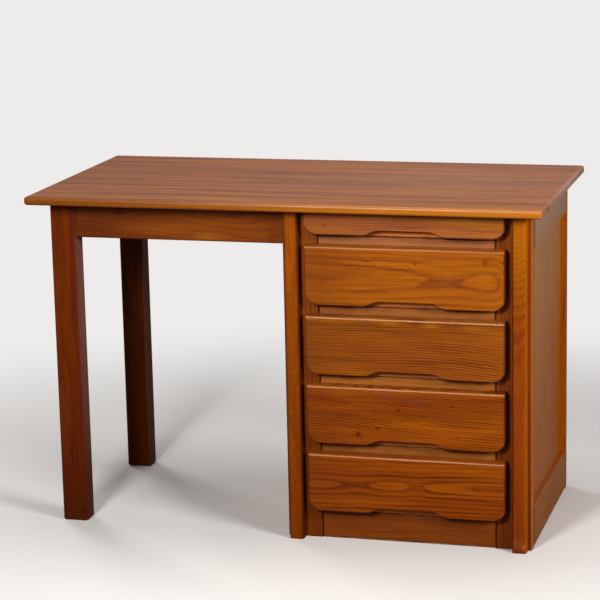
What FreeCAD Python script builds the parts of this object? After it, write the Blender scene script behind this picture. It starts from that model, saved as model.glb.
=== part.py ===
import FreeCAD, Part
import math
import os

Vector = FreeCAD.Vector

# The desk: X to the right, Y to the back, Z up, millimetres.
# The origin is on the floor, under the middle of the desk top.
desk_length = 1115.0
desk_depth = 582.0
desk_height = 740.0

# Desk top and how far it stands out past the legs and the pedestal
top_thickness = 18.0
top_edge_round = 6.0
top_corner_round = 5.0
side_overhang = 31.0
front_overhang = 69.0
back_overhang = 42.0

# Left legs
leg_width = 57.0
leg_depth = 45.0
leg_edge_round = 5.0
foot_chamfer = 3.0

# Aprons under the top, set back a little from the faces of the legs
apron_height = 80.0
apron_thickness = 22.0
apron_reveal = 3.0
eased_edge = 2.0

# Stub tenons of aprons, rails and runners
tenon_thickness = 8.0
tenon_length = 8.0
tenon_wall = 2.0
tenon_clearance = 0.2
apron_shoulder = 12.0
rail_shoulder = 4.0
runner_tenon_length = 5.0

# Pedestal: front and back stiles, side frames with recessed panels, thin back panel
pedestal_width = 531.0
stile_width = 76.5
stile_thickness = 22.0
side_rail_thickness = 28.0
side_rail_height = 80.0
lower_rail_height = 84.0
lower_rail_lift = 3.0
side_panel_thickness = 10.0
side_panel_recess = 13.0
back_panel_thickness = 6.0
back_panel_recess = 8.0
panel_tongue = 6.0
panel_clearance = 0.8

# Pilasters that stand proud of the front stiles
pilaster_width = 30.0
pilaster_depth = 24.0
pilaster_inset = 8.5
pilaster_edge_round = 5.0

# Rails across the front of the pedestal
rail_height = 22.0
rail_reveal = 1.0
rail_below_front = 5.5
plinth_lift = 2.0
joint_bevel = 1.5

# Drawer fronts: four alike and a shallow one under the top
full_drawers = 4
lowest_front_bottom = 66.5
shallow_front_height = 49.5
shallow_front_gap = 4.0
front_gap = 22.5
front_overlap = 24.0
front_thickness = 24.0
front_seat = 0.3
front_top_round = 6.0
front_edge_round = 3.0
front_corner_radius = 28.0

# Hand cut-out in the lower edge of each drawer front
pull_width = 100.0
pull_run = 42.0
pull_depth = 11.0

# Drawer boxes, dovetailed at the corners, with a grooved-in bottom
box_side_clearance = 1.3
box_rail_gap = 1.7
box_top_gap = 2.3
box_back_gap = 29.0
box_side_thickness = 12.0
box_front_thickness = 14.0
box_back_thickness = 12.0
box_bottom_thickness = 5.0
box_bottom_height = 8.0
box_bottom_tongue = 5.0
tail_pitch = 40.0
tail_width_share = 0.62
tail_slope = 1 / 7

# Drawer runners, L-shaped, with a lip that guides the side of the box
runner_bearing = 13.0
runner_outside = 24.0
runner_height = 20.0
runner_lip = 12.0
runner_clearance = 0.3

# Wooden buttons that hold the top, each with a tongue in the rail beside it
button_width = 30.0
button_length = 32.0
button_height = 16.0
button_tongue = 8.0
button_tongue_thickness = 7.0
button_clearance = 0.3
apron_button_shares = (0.22, 0.78)
short_button_shares = (0.5,)

# Cutting tools reach past the faces that they cut
overrun = 1.0
tolerance = 0.01

# Places that follow from the sizes above
underside = desk_height - top_thickness
left_face = side_overhang - desk_length / 2
right_face = desk_length / 2 - side_overhang
front_face = front_overhang - desk_depth / 2
back_face = desk_depth / 2 - back_overhang
pedestal_left = right_face - pedestal_width
pedestal_middle = right_face - pedestal_width / 2
opening_left = pedestal_left + stile_width
opening_right = right_face - stile_width
stile_back = front_face + stile_thickness
rear_stile_front = back_face - stile_thickness
leg_inner = left_face + leg_width
apron_z = (underside - apron_height, underside)

# Heights of the drawers, from the shallow one at the top down to the lowest
stack_height = underside - shallow_front_gap - shallow_front_height - lowest_front_bottom
drawer_pitch = stack_height / full_drawers
full_front_height = drawer_pitch - front_gap
drawer_count = full_drawers + 1


def front_z(number):
    """Lower and upper edge of a drawer front, drawer 1 being the shallow one."""
    bottom = lowest_front_bottom + (drawer_count - number) * drawer_pitch
    if number == 1:
        return (bottom, bottom + shallow_front_height)
    return (bottom, bottom + full_front_height)


def rail_top(number):
    """Top of the rail, or of the plinth board, that lies below a drawer."""
    return front_z(number)[0] - rail_below_front


def box_z(number):
    """Lower and upper edge of a drawer box, between the rails below and above it."""
    above = underside if number == 1 else rail_top(number - 1)
    return (rail_top(number) + box_rail_gap, above - rail_height - box_top_gap)


def block(x, y, z):
    """A board that lies between two places along each axis."""
    corner = Vector(x[0], y[0], z[0])
    return Part.makeBox(x[1] - x[0], y[1] - y[0], z[1] - z[0], corner)


def grown(span, margin):
    """A span that reaches further by a margin at both ends."""
    return (span[0] - margin, span[1] + margin)


def mirrored(shape):
    """The same piece on the other side of the pedestal's middle plane."""
    return shape.mirror(Vector(pedestal_middle, 0, 0), Vector(1, 0, 0))


def edges_at(shape, **place):
    """The edges whose middle lies at the given x, y or z."""
    found = []
    for edge in shape.Edges:
        middle = edge.CenterOfMass
        if all(abs(getattr(middle, axis) - value) < tolerance for axis, value in place.items()):
            found.append(edge)
    return found


def rounded(shape, radius, *places):
    """The shape with a round on the edges at each of the places."""
    edges = [edge for place in places for edge in edges_at(shape, **place)]
    return shape.makeFillet(radius, edges)


def bevelled(shape, size, *places):
    """The shape with a narrow bevel on the edges at each of the places."""
    edges = [edge for place in places for edge in edges_at(shape, **place)]
    return shape.makeChamfer(size, edges)


def without(shape, tools):
    """The shape less every tool that comes near it."""
    near = [tool for tool in tools if tool.BoundBox.intersect(shape.BoundBox)]
    return shape.cut(near) if near else shape


def tenons(along, middle, z, axis, shoulder, length, clearance=0.0):
    """The tenons at both ends of a rail along X or Y, or with a clearance their mortises."""
    half = tenon_thickness / 2 + clearance
    across = (middle - half, middle + half)
    height = grown(z, clearance - shoulder)
    reach = length + clearance
    ends = [(along[0] - reach, along[0] + overrun), (along[1] - overrun, along[1] + reach)]
    if axis == "x":
        return [block(end, across, height) for end in ends]
    return [block(across, end, height) for end in ends]


def tenoned(board, *place):
    """A board fused with its two tenons."""
    return board.fuse(tenons(*place)).removeSplitter()


def mortises(*place):
    """The pockets that the tenons at the same place need."""
    return tenons(*place, tenon_clearance)


# Places of the tenons: along, middle, height, axis, shoulder, length
long_apron_x = (leg_inner, pedestal_left)
front_apron_y = (front_face + apron_reveal, front_face + apron_reveal + apron_thickness)
back_apron_y = (back_face - apron_reveal - apron_thickness, back_face - apron_reveal)
side_apron_x = (left_face + apron_reveal, left_face + apron_reveal + apron_thickness)
side_apron_y = (front_face + leg_depth, back_face - leg_depth)
opening_x = (opening_left, opening_right)
frame_y = (stile_back, rear_stile_front)
side_rail_x = (right_face - side_rail_thickness, right_face)
side_tenon_x = right_face - tenon_length - tenon_wall - tenon_thickness / 2
lower_rail_z = (lower_rail_lift, lower_rail_lift + lower_rail_height)
upper_rail_z = (underside - side_rail_height, underside)

front_apron_joint = (long_apron_x, sum(front_apron_y) / 2, apron_z, "x", apron_shoulder, tenon_length)
back_apron_joint = (long_apron_x, sum(back_apron_y) / 2, apron_z, "x", apron_shoulder, tenon_length)
side_apron_joint = (side_apron_y, sum(side_apron_x) / 2, apron_z, "y", apron_shoulder, tenon_length)
upper_rail_joint = (frame_y, side_tenon_x, upper_rail_z, "y", apron_shoulder, tenon_length)
lower_rail_joint = (frame_y, side_tenon_x, lower_rail_z, "y", apron_shoulder, tenon_length)


def front_rail_joint(z):
    """Tenons of a rail across the front of the pedestal."""
    return (opening_x, front_face + stile_thickness / 2, z, "x", rail_shoulder, tenon_length)


def back_rail_joint(z):
    """Tenons of a rail across the back of the pedestal."""
    return (opening_x, back_face - stile_thickness / 2, z, "x", apron_shoulder, tenon_length)


def runner_z(number):
    """Lower and upper face of the part of a runner that carries the drawer."""
    top = box_z(number)[0] - runner_clearance
    return (top - runner_height, top)


def runner_joint(number):
    """Short tenons of a runner, in the stiles at the right of the opening."""
    middle = opening_right + runner_outside / 2
    return (frame_y, middle, runner_z(number), "y", rail_shoulder, runner_tenon_length)


# Spans of the rails across the front: one above the shallow drawer, one below each full gap
top_rail_z = (underside - rail_height, underside)
plinth_z = (plinth_lift, rail_top(drawer_count))


def drawer_rail_z(number):
    """Height of the rail below a drawer."""
    return (rail_top(number) - rail_height, rail_top(number))


def side_panel_spans(margin):
    """The right side panel, tight between its faces; the margin is room past the edges of its tongues."""
    x = (right_face - side_panel_recess - side_panel_thickness, right_face - side_panel_recess)
    z = (lower_rail_z[1], upper_rail_z[0])
    return (x, grown(frame_y, panel_tongue + margin), grown(z, panel_tongue + margin))


def back_panel_spans(margin):
    """The thin back panel, tight between its faces; the margin is room past the edges of its tongues."""
    y = (back_face - back_panel_recess - back_panel_thickness, back_face - back_panel_recess)
    z = (lower_rail_z[1], upper_rail_z[0])
    return (grown(opening_x, panel_tongue + margin), y, grown(z, panel_tongue + margin))


def button_places():
    """Point on the rail's inner face and direction into the rail, for each button."""
    places = []
    for share in apron_button_shares:
        x = long_apron_x[0] + share * (long_apron_x[1] - long_apron_x[0])
        places.append((Vector(x, front_apron_y[1], underside), Vector(0, -1, 0)))
        places.append((Vector(x, back_apron_y[0], underside), Vector(0, 1, 0)))
        y = frame_y[0] + share * (frame_y[1] - frame_y[0])
        places.append((Vector(side_rail_x[0], y, underside), Vector(1, 0, 0)))
        places.append((Vector(pedestal_left + side_rail_thickness, y, underside), Vector(-1, 0, 0)))
    for share in short_button_shares:
        y = side_apron_y[0] + share * (side_apron_y[1] - side_apron_y[0])
        places.append((Vector(side_apron_x[1], y, underside), Vector(-1, 0, 0)))
    return places


def placed(shape, point, direction):
    """A shape drawn at the origin, facing +X, turned and moved to a rail's inner face."""
    turn = FreeCAD.Rotation(Vector(1, 0, 0), direction)
    if direction.x < 0:
        turn = FreeCAD.Rotation(Vector(0, 0, 1), math.degrees(math.pi))
    moved = shape.copy()
    moved.Placement = FreeCAD.Placement(point, turn)
    return moved


def button_tongue_block(clearance):
    """The tongue of a button at the origin, grown by a clearance for its mortise."""
    x = (-overrun, button_tongue + clearance)
    y = grown((-button_width / 2, button_width / 2), clearance)
    z = grown((-button_height, button_tongue_thickness - button_height), clearance)
    return block(x, y, z)


def button_shape():
    """A button at the origin: a block under the top with a tongue that enters the rail."""
    y = (-button_width / 2, button_width / 2)
    body = block((-button_length, 0), y, (-button_height, 0))
    body = bevelled(body, eased_edge, {"x": -button_length, "z": -button_height})
    return body.fuse(button_tongue_block(0)).removeSplitter()


buttons = [placed(button_shape(), *place) for place in button_places()]
button_mortises = [placed(button_tongue_block(button_clearance), *place) for place in button_places()]


def desk_top():
    """The top: one slab with rounded corners and edges."""
    slab = block(
        (-desk_length / 2, desk_length / 2), (-desk_depth / 2, desk_depth / 2),
        (underside, desk_height))
    slab = rounded(slab, top_corner_round, {"z": underside + top_thickness / 2})
    return rounded(slab, top_edge_round, {"z": desk_height}, {"z": underside})


def left_leg(y):
    """A left leg with eased edges, a chamfered foot and the mortises of its two aprons."""
    leg = block((left_face, leg_inner), y, (0, underside))
    sides = [{"x": x, "y": place} for x in (left_face, leg_inner) for place in y]
    leg = rounded(leg, leg_edge_round, *sides)
    leg = leg.makeChamfer(foot_chamfer, edges_at(leg, z=0))
    pockets = mortises(*front_apron_joint) + mortises(*back_apron_joint) + mortises(*side_apron_joint)
    return without(leg, pockets)


def long_apron(y, joint):
    """An apron between a left leg and the pedestal, with mortises for the buttons."""
    board = block(long_apron_x, y, apron_z)
    board = bevelled(board, eased_edge, {"y": y[0], "z": apron_z[0]}, {"y": y[1], "z": apron_z[0]})
    return without(tenoned(board, *joint), button_mortises)


def side_apron():
    """The apron between the two left legs."""
    board = block(side_apron_x, side_apron_y, apron_z)
    below = [{"x": x, "z": apron_z[0]} for x in side_apron_x]
    board = bevelled(board, eased_edge, *below)
    return without(tenoned(board, *side_apron_joint), button_mortises)


def right_stile(y, outer_y):
    """A stile at the right of the pedestal, to the floor, with its edges eased on the outer face."""
    stile = block((opening_right, right_face), y, (0, underside))
    stile = bevelled(stile, joint_bevel, {"x": opening_right, "y": outer_y})
    return bevelled(stile, eased_edge, {"x": right_face, "y": outer_y})


def stile_pockets():
    """Every mortise and groove at the right of the pedestal."""
    pockets = mortises(*upper_rail_joint) + mortises(*lower_rail_joint)
    pockets += mortises(*front_rail_joint(top_rail_z)) + mortises(*front_rail_joint(plinth_z))
    for z in (upper_rail_z, lower_rail_z):
        pockets += mortises(*back_rail_joint(z))
    for number in range(1, drawer_count + 1):
        pockets += mortises(*runner_joint(number))
    for number in range(1, drawer_count):
        pockets += mortises(*front_rail_joint(drawer_rail_z(number)))
    pockets.append(block(*side_panel_spans(panel_clearance)))
    pockets.append(block(*back_panel_spans(panel_clearance)))
    return pockets


def right_pilaster():
    """The post that stands proud of the right front stile, with two rounded edges."""
    x = (right_face - pilaster_inset - pilaster_width, right_face - pilaster_inset)
    front = front_face - pilaster_depth
    post = block(x, (front, front_face), (0, underside))
    return rounded(post, pilaster_edge_round, {"x": x[0], "y": front}, {"x": x[1], "y": front})


def right_side_rail(z, joint, panel_edge):
    """A rail of the right side frame, grooved for the panel and eased on its outer edge."""
    rail = block(side_rail_x, frame_y, z)
    rail = bevelled(rail, eased_edge, {"x": right_face, "z": panel_edge})
    groove = block(*side_panel_spans(panel_clearance))
    return tenoned(rail, *joint).cut(groove)


def left_of(shape):
    """A piece of the right side frame, mirrored to the left, with mortises for aprons and buttons."""
    pockets = mortises(*front_apron_joint) + mortises(*back_apron_joint)
    return without(mirrored(shape), pockets + button_mortises)


def front_rail(z):
    """A rail across the front, set back a little, bevelled where it meets the stiles."""
    front = front_face + rail_reveal
    rail = block(opening_x, (front, stile_back), z)
    rail = bevelled(rail, joint_bevel, {"x": opening_left, "y": front}, {"x": opening_right, "y": front})
    rail = bevelled(rail, joint_bevel, {"y": front, "z": z[1]})
    return tenoned(rail, *front_rail_joint(z))


def back_rail(z):
    """A rail across the back of the pedestal, grooved for the thin panel."""
    rail = tenoned(block(opening_x, (rear_stile_front, back_face), z), *back_rail_joint(z))
    return rail.cut(block(*back_panel_spans(panel_clearance)))


def right_runner(number):
    """The right runner of a drawer: a bearing strip and a guiding lip in one L-shaped piece."""
    z = runner_z(number)
    bearing = block((opening_right - runner_bearing, opening_right + runner_outside), frame_y, z)
    lip = block((opening_right, opening_right + runner_outside), frame_y, (z[0], z[1] + runner_lip))
    return tenoned(bearing.fuse(lip).removeSplitter(), *runner_joint(number))


def turned(centre, radius, angle):
    """A point of the drawer front's outline, at an angle about a centre."""
    return (centre[0] + radius * math.cos(angle), centre[1] + radius * math.sin(angle))


def arc(centre, radius, start, end):
    """Three points of an arc: its start, middle and end."""
    return [turned(centre, radius, angle) for angle in (start, (start + end) / 2, end)]


def half_outline(height):
    """Left half of a drawer front's outline, from its top to the middle of the hand cut-out."""
    side = -(opening_right - opening_left) / 2 - front_overlap
    corner = front_corner_radius
    flat = -pull_width / 2
    start = flat - pull_run
    radius = (pull_run ** 2 + pull_depth ** 2) / (4 * pull_depth)
    sweep = math.asin(pull_run / 2 / radius)
    down = -math.pi / 2
    up = math.pi / 2
    return [
        [(side, height + overrun), (side, corner)],
        arc((side + corner, corner), corner, math.pi, math.pi - down),
        [(side + corner, 0), (start, 0)],
        arc((start, radius), radius, down, down + sweep),
        arc((flat, pull_depth - radius), radius, up + sweep, up),
    ]


def outline_face(height):
    """The whole front outline as a face in the XZ plane, above its final top edge."""
    left = half_outline(height)
    right = [[(-x, z) for x, z in reversed(piece)] for piece in reversed(left)]
    pieces = left + [[left[-1][-1], right[0][0]]] + right + [[right[-1][-1], left[0][0]]]
    edges = []
    for piece in pieces:
        points = [Vector(x, 0, z) for x, z in piece]
        if len(points) == 2:
            edges.append(Part.makeLine(*points))
        else:
            edges.append(Part.Arc(*points).toShape())
    return Part.Face(Part.Wire(edges))


def drawer_front(number):
    """An overlaid drawer front: shaped lower edge, rounded rim and a wider round along the top."""
    z = front_z(number)
    height = z[1] - z[0]
    board = outline_face(height).extrude(Vector(0, front_thickness, 0))
    rim = [edge for edge in edges_at(board, y=0) if edge.CenterOfMass.z < height]
    board = board.makeFillet(front_edge_round, rim)
    half = (opening_right - opening_left) / 2 + front_overlap
    envelope = block((-half - overrun, half + overrun), (0, front_thickness), (-overrun, height))
    envelope = rounded(envelope, front_top_round, {"y": 0, "z": height})
    board = board.common(envelope)
    board.translate(Vector(pedestal_middle, front_face - front_seat - front_thickness, z[0]))
    return board


# Spans of the drawer boxes
box_x = (opening_left + box_side_clearance, opening_right - box_side_clearance)
box_y = (front_face - front_seat, rear_stile_front - box_back_gap)
inner_x = grown(box_x, -box_side_thickness)
inner_y = (box_y[0] + box_front_thickness, box_y[1] - box_back_thickness)
side_spans_x = ((box_x[0], inner_x[0]), (inner_x[1], box_x[1]))
front_corner_y = (box_y[0], inner_y[0])
back_corner_y = (box_y[1], inner_y[1])


def tails(x, y, z):
    """Dovetails of a box side at one corner, wide at y[0] and narrow at y[1]."""
    count = max(1, round((z[1] - z[0]) / tail_pitch))
    step = (z[1] - z[0]) / count
    wide = step * tail_width_share / 2
    narrow = wide - abs(y[1] - y[0]) * tail_slope
    shapes = []
    for index in range(count):
        middle = z[0] + (index + 0.5) * step
        corners = [
            (y[0], middle - wide), (y[1], middle - narrow),
            (y[1], middle + narrow), (y[0], middle + wide), (y[0], middle - wide)]
        outline = Part.makePolygon([Vector(x[0], across, up) for across, up in corners])
        shapes.append(Part.Face(outline).extrude(Vector(x[1] - x[0], 0, 0)))
    return shapes


def bottom_spans(number, margin):
    """The bottom of a drawer box; the margin is room past the edges of its tongues."""
    lift = box_z(number)[0] + box_bottom_height
    reach = box_bottom_tongue + margin
    return (grown(inner_x, reach), grown(inner_y, reach), (lift, lift + box_bottom_thickness))


def box_side(number, x):
    """A side of a drawer box: tails at both ends and a groove for the bottom."""
    z = box_z(number)
    side = block(x, box_y, z)
    for corner in (front_corner_y, back_corner_y):
        socket = block(x, tuple(sorted(corner)), z)
        side = side.cut(socket.cut(tails(x, corner, z)))
    return side.cut(block(*bottom_spans(number, panel_clearance)))


def box_end(number, corner):
    """The front or back of a drawer box, with the pins between the tails of both sides."""
    z = box_z(number)
    board = block(box_x, tuple(sorted(corner)), z)
    cutters = tails(side_spans_x[0], corner, z) + tails(side_spans_x[1], corner, z)
    return board.cut(cutters).cut(block(*bottom_spans(number, panel_clearance)))


def drawer_parts(number):
    """The six pieces of one drawer."""
    name = "drawer_%d_" % number
    return {
        name + "front": drawer_front(number),
        name + "box_front": box_end(number, front_corner_y),
        name + "left_side": box_side(number, side_spans_x[0]),
        name + "right_side": box_side(number, side_spans_x[1]),
        name + "box_back": box_end(number, back_corner_y),
        name + "bottom": block(*bottom_spans(number, 0)),
    }


def table_parts():
    """The top, the left legs and the aprons."""
    return {
        "desk_top": desk_top(),
        "front_left_leg": left_leg((front_face, front_face + leg_depth)),
        "back_left_leg": left_leg((back_face - leg_depth, back_face)),
        "front_apron": long_apron(front_apron_y, front_apron_joint),
        "back_apron": long_apron(back_apron_y, back_apron_joint),
        "left_side_apron": side_apron(),
        "top_buttons": Part.makeCompound(buttons),
    }


def pedestal_side_parts():
    """The frames, panels and pilasters at both sides of the pedestal."""
    pockets = stile_pockets()
    front_stile = without(right_stile((front_face, stile_back), front_face), pockets)
    back_stile = without(right_stile((rear_stile_front, back_face), back_face), pockets)
    upper = right_side_rail(upper_rail_z, upper_rail_joint, upper_rail_z[0])
    lower = right_side_rail(lower_rail_z, lower_rail_joint, lower_rail_z[1])
    panel = block(*side_panel_spans(0))
    pilaster = right_pilaster()
    return {
        "right_front_stile": front_stile,
        "left_front_stile": left_of(front_stile),
        "right_back_stile": back_stile,
        "left_back_stile": left_of(back_stile),
        "right_side_top_rail": without(upper, button_mortises),
        "left_side_top_rail": left_of(upper),
        "right_side_bottom_rail": lower,
        "left_side_bottom_rail": mirrored(lower),
        "right_side_panel": panel,
        "left_side_panel": mirrored(panel),
        "right_pilaster": pilaster,
        "left_pilaster": mirrored(pilaster),
    }


def pedestal_cross_parts():
    """The rails across the front and back, the back panel and the runners."""
    runners = [right_runner(number) for number in range(1, drawer_count + 1)]
    parts = {
        "front_top_rail": front_rail(top_rail_z),
        "plinth_board": front_rail(plinth_z),
        "back_top_rail": back_rail(upper_rail_z),
        "back_bottom_rail": back_rail(lower_rail_z),
        "back_panel": block(*back_panel_spans(0)),
        "drawer_runners": Part.makeCompound(runners + [mirrored(runner) for runner in runners]),
    }
    for number in range(1, drawer_count):
        parts["drawer_rail_%d" % number] = front_rail(drawer_rail_z(number))
    return parts


def all_parts():
    """Every piece of the desk by its node's name."""
    parts = {}
    parts.update(table_parts())
    parts.update(pedestal_side_parts())
    parts.update(pedestal_cross_parts())
    for number in range(1, drawer_count + 1):
        parts.update(drawer_parts(number))
    return parts


os.makedirs("parts", exist_ok=True)
for node, shape in all_parts().items():
    shape.exportStep("parts/%s.step" % node)
    print(node, "solids", len(shape.Solids), "volume", round(shape.Volume))
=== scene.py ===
import math
import random
from collections import namedtuple
import bmesh
import bpy
from mathutils import Euler, Matrix, Vector


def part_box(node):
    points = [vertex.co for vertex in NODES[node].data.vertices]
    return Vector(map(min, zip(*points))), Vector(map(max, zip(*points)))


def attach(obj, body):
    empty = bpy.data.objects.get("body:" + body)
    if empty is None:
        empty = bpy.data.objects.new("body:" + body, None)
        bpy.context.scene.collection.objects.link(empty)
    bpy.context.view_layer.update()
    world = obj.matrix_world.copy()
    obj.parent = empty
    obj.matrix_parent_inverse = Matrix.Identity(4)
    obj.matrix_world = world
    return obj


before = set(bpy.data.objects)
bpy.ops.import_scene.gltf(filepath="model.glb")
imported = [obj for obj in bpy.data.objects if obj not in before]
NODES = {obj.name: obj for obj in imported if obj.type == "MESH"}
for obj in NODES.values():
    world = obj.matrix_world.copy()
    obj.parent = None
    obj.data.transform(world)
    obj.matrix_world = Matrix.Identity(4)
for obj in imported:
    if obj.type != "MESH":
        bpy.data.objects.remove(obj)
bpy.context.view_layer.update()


# Camera

PHOTO_PIXELS = 600.0
FOCAL_PIXELS = 2258.9
SENSOR_MM = 36.0
CAMERA_AZIMUTH, CAMERA_ELEVATION, CAMERA_ROLL = (math.radians(angle) for angle in (15.626, 12.511, 1.258))
CAMERA_TARGET = Vector((-0.0309, 0.0, 0.4713))
CAMERA_DISTANCE = 5.0111
CAMERA_CLIP = (0.1, 100.0)


def add_camera():
    """The camera at the photo's angle, a long lens turned a little about its axis."""
    level = math.cos(CAMERA_ELEVATION)
    back = Vector((math.sin(CAMERA_AZIMUTH) * level, -math.cos(CAMERA_AZIMUTH) * level,
                   math.sin(CAMERA_ELEVATION)))
    right = Vector((math.cos(CAMERA_AZIMUTH), math.sin(CAMERA_AZIMUTH), 0.0))
    up = back.cross(right)
    axis_x = right * math.cos(CAMERA_ROLL) - up * math.sin(CAMERA_ROLL)
    axis_y = right * math.sin(CAMERA_ROLL) + up * math.cos(CAMERA_ROLL)
    data = bpy.data.cameras.new("photo_camera")
    data.sensor_width = SENSOR_MM
    data.lens = SENSOR_MM * FOCAL_PIXELS / PHOTO_PIXELS
    data.clip_start, data.clip_end = CAMERA_CLIP
    camera = bpy.data.objects.new("photo_camera", data)
    bpy.context.scene.collection.objects.link(camera)
    turn = Matrix((axis_x, axis_y, back)).transposed()
    camera.matrix_world = Matrix.Translation(CAMERA_TARGET + back * CAMERA_DISTANCE) @ turn.to_4x4()
    bpy.context.scene.camera = camera


# Node helpers

# an overlay is a colour and its strength laid over the wood: some are real stains and wear, some painted
# light and shade
Overlay = namedtuple("Overlay", "shade strength")


class Graph:
    """A node tree with short calls to add nodes and link them. Each call returns the new node's output."""

    def __init__(self, tree):
        self.tree = tree

    def node(self, kind, **settings):
        """A new node itself, with some of its settings."""
        made = self.tree.nodes.new(kind)
        for name, value in settings.items():
            setattr(made, name, value)
        return made

    def put(self, value, socket):
        """Links an output to the socket, or sets the socket to a number, vector or colour."""
        if isinstance(value, bpy.types.NodeSocket):
            self.tree.links.new(value, socket)
        else:
            socket.default_value = value

    def math(self, operation, *values):
        made = self.node("ShaderNodeMath", operation=operation)
        for value, socket in zip(values, made.inputs):
            self.put(value, socket)
        return made.outputs[0]

    def plus(self, first, second):
        return self.math("ADD", first, second)

    def minus(self, first, second):
        return self.math("SUBTRACT", first, second)

    def times(self, first, second):
        return self.math("MULTIPLY", first, second)

    def larger(self, first, second):
        return self.math("MAXIMUM", first, second)

    def smaller(self, first, second):
        return self.math("MINIMUM", first, second)

    def weighed(self, *terms, clamp=False):
        """The sum of values that are each multiplied by a weight, kept from 0 to 1 where it is clamped."""
        total = self.times(*terms[0])
        for value, weight in terms[1:]:
            total = self.plus(total, self.times(value, weight))
        total.node.use_clamp = clamp
        return total

    def vector(self, operation, *values):
        made = self.node("ShaderNodeVectorMath", operation=operation)
        for value, socket in zip(values, made.inputs):
            self.put(value, socket)
        return made.outputs["Value" if operation == "LENGTH" else "Vector"]

    def scaled(self, vector, scale):
        """A vector with each of its parts times the same part of the scale."""
        return self.vector("MULTIPLY", vector, scale)

    def grown(self, vector, factor):
        """A vector times a number that may be linked."""
        made = self.node("ShaderNodeVectorMath", operation="SCALE")
        self.put(vector, made.inputs[0])
        self.put(factor, made.inputs["Scale"])
        return made.outputs[0]

    def parts(self, vector):
        """The three outputs of a vector's parts."""
        made = self.node("ShaderNodeSeparateXYZ")
        self.put(vector, made.inputs[0])
        return made.outputs

    def coordinates(self, kind="Object"):
        return self.node("ShaderNodeTexCoord").outputs[kind]

    def noise(self, vector, detail=2.0, roughness=0.5, output="Fac"):
        """A cloudy pattern, as a number from 0 to 1 or as a colour."""
        made = self.node("ShaderNodeTexNoise")
        self.put(vector, made.inputs["Vector"])
        made.inputs["Scale"].default_value = 1.0
        made.inputs["Detail"].default_value = detail
        made.inputs["Roughness"].default_value = roughness
        return made.outputs[output]

    def chance(self, value):
        """A steady random number from 0 to 1 for each whole value."""
        made = self.node("ShaderNodeTexWhiteNoise", noise_dimensions="1D")
        self.put(value, made.inputs["W"])
        return made.outputs["Value"]

    def mix(self, factor, first, second):
        """The first colour at factor 0, going over to the second at factor 1."""
        made = self.node("ShaderNodeMix", data_type="RGBA")
        self.put(factor, made.inputs[0])
        self.put(first, made.inputs[6])
        self.put(second, made.inputs[7])
        return made.outputs[2]

    def overlaid(self, colour, mask, overlay):
        """The colour with an overlay laid over it where the mask is 1, whether real colour or painted light
        and shade.
        """
        return self.mix(self.times(mask, overlay.strength), colour, overlay.shade)

    def remap(self, value, low, high, to_low=0.0, to_high=1.0, course="SMOOTHSTEP"):
        """The range from low to high moved to another range, and held at its ends."""
        made = self.node("ShaderNodeMapRange", interpolation_type=course)
        for part, socket in zip((value, low, high, to_low, to_high), made.inputs):
            self.put(part, socket)
        return made.outputs[0]

    def between(self, share, low, high):
        """The value at a share of the way from low to high."""
        return self.remap(share, 0.0, 1.0, low, high, "LINEAR")

    def bell(self, distance, spread):
        """1 where the distance is nought, falling away smoothly over the spread."""
        share = self.math("DIVIDE", distance, spread)
        return self.math("EXPONENT", self.times(self.times(share, share), -1.0))

    def ramp(self, value, *stops):
        """A smooth run of shades, each given as its place from 0 to 1 and its height."""
        made = self.node("ShaderNodeValToRGB")
        ramp = made.color_ramp
        ramp.interpolation = "B_SPLINE"
        while len(ramp.elements) < len(stops):
            ramp.elements.new(0.5)
        for element, (place, shade) in zip(ramp.elements, stops):
            element.position = place
            element.color = (shade, shade, shade, 1.0)
        self.put(value, made.inputs[0])
        return made.outputs[0]

    def bump(self, height, strength, distance, shader):
        """Small relief on the shader's surface."""
        made = self.node("ShaderNodeBump")
        made.inputs["Strength"].default_value = strength
        made.inputs["Distance"].default_value = distance
        self.put(height, made.inputs["Height"])
        self.put(made.outputs[0], shader.inputs["Normal"])


def new_material(name):
    """A material, the graph of its nodes and its shader."""
    material = bpy.data.materials.new(name)
    material.use_nodes = True
    return material, Graph(material.node_tree), material.node_tree.nodes["Principled BSDF"]


def srgb(red, green, blue):
    """A colour given in display values from 0 to 255, as the shader takes it."""
    parts = []
    for value in (red, green, blue):
        share = value / 255.0
        parts.append(share / 12.92 if share <= 0.04045 else ((share + 0.055) / 1.055) ** 2.4)
    return (*parts, 1.0)


# Elm

ACROSS = (0.0, 1.0, 1.0)
# How often a pattern changes over a metre, along the grain and across it, and how fine and rough it is.
# Where it has a low and a high value, these are moved to 0 and 1.
Pattern = namedtuple("Pattern", "along across detail roughness low high", defaults=(2.0, 0.5, None, None))
BEND = Pattern(2.2, 9.0)
RAGGED = Pattern(14.0, 90.0, detail=3.0)
PATCH = Pattern(5.0, 24.0, detail=1.0, low=0.3, high=0.7)
FIBRE = Pattern(11.0, 420.0, detail=3.0, roughness=0.6)
PORE = Pattern(60.0, 1500.0, detail=1.0, low=0.56, high=0.7)
TONE = Pattern(3.0, 22.0, low=0.36, high=0.66)
GLOW = Pattern(5.0, 60.0, low=0.42, high=0.7)
STREAK = Pattern(1.3, 46.0, detail=4.0, roughness=0.6, low=0.42, high=0.66)
GLOW_START = (3.0, 1.0, 2.0)
# one ring from its start to the next, as places and darkness
RING_SHADES = ((0.0, 0.7), (0.1, 1.0), (0.26, 0.6), (0.5, 0.2), (0.88, 0.0), (1.0, 0.7))
RING_STRENGTH = (0.5, 1.0)
PATCH_STRENGTH = (0.7, 1.2)
BANDS_IN_RING = 3.0
BAND_WAVE = 2.5
BAND_EDGE = (0.2, 0.5)
# the share of the pores that is left between the dark lines
PORES_BETWEEN = 0.3
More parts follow.
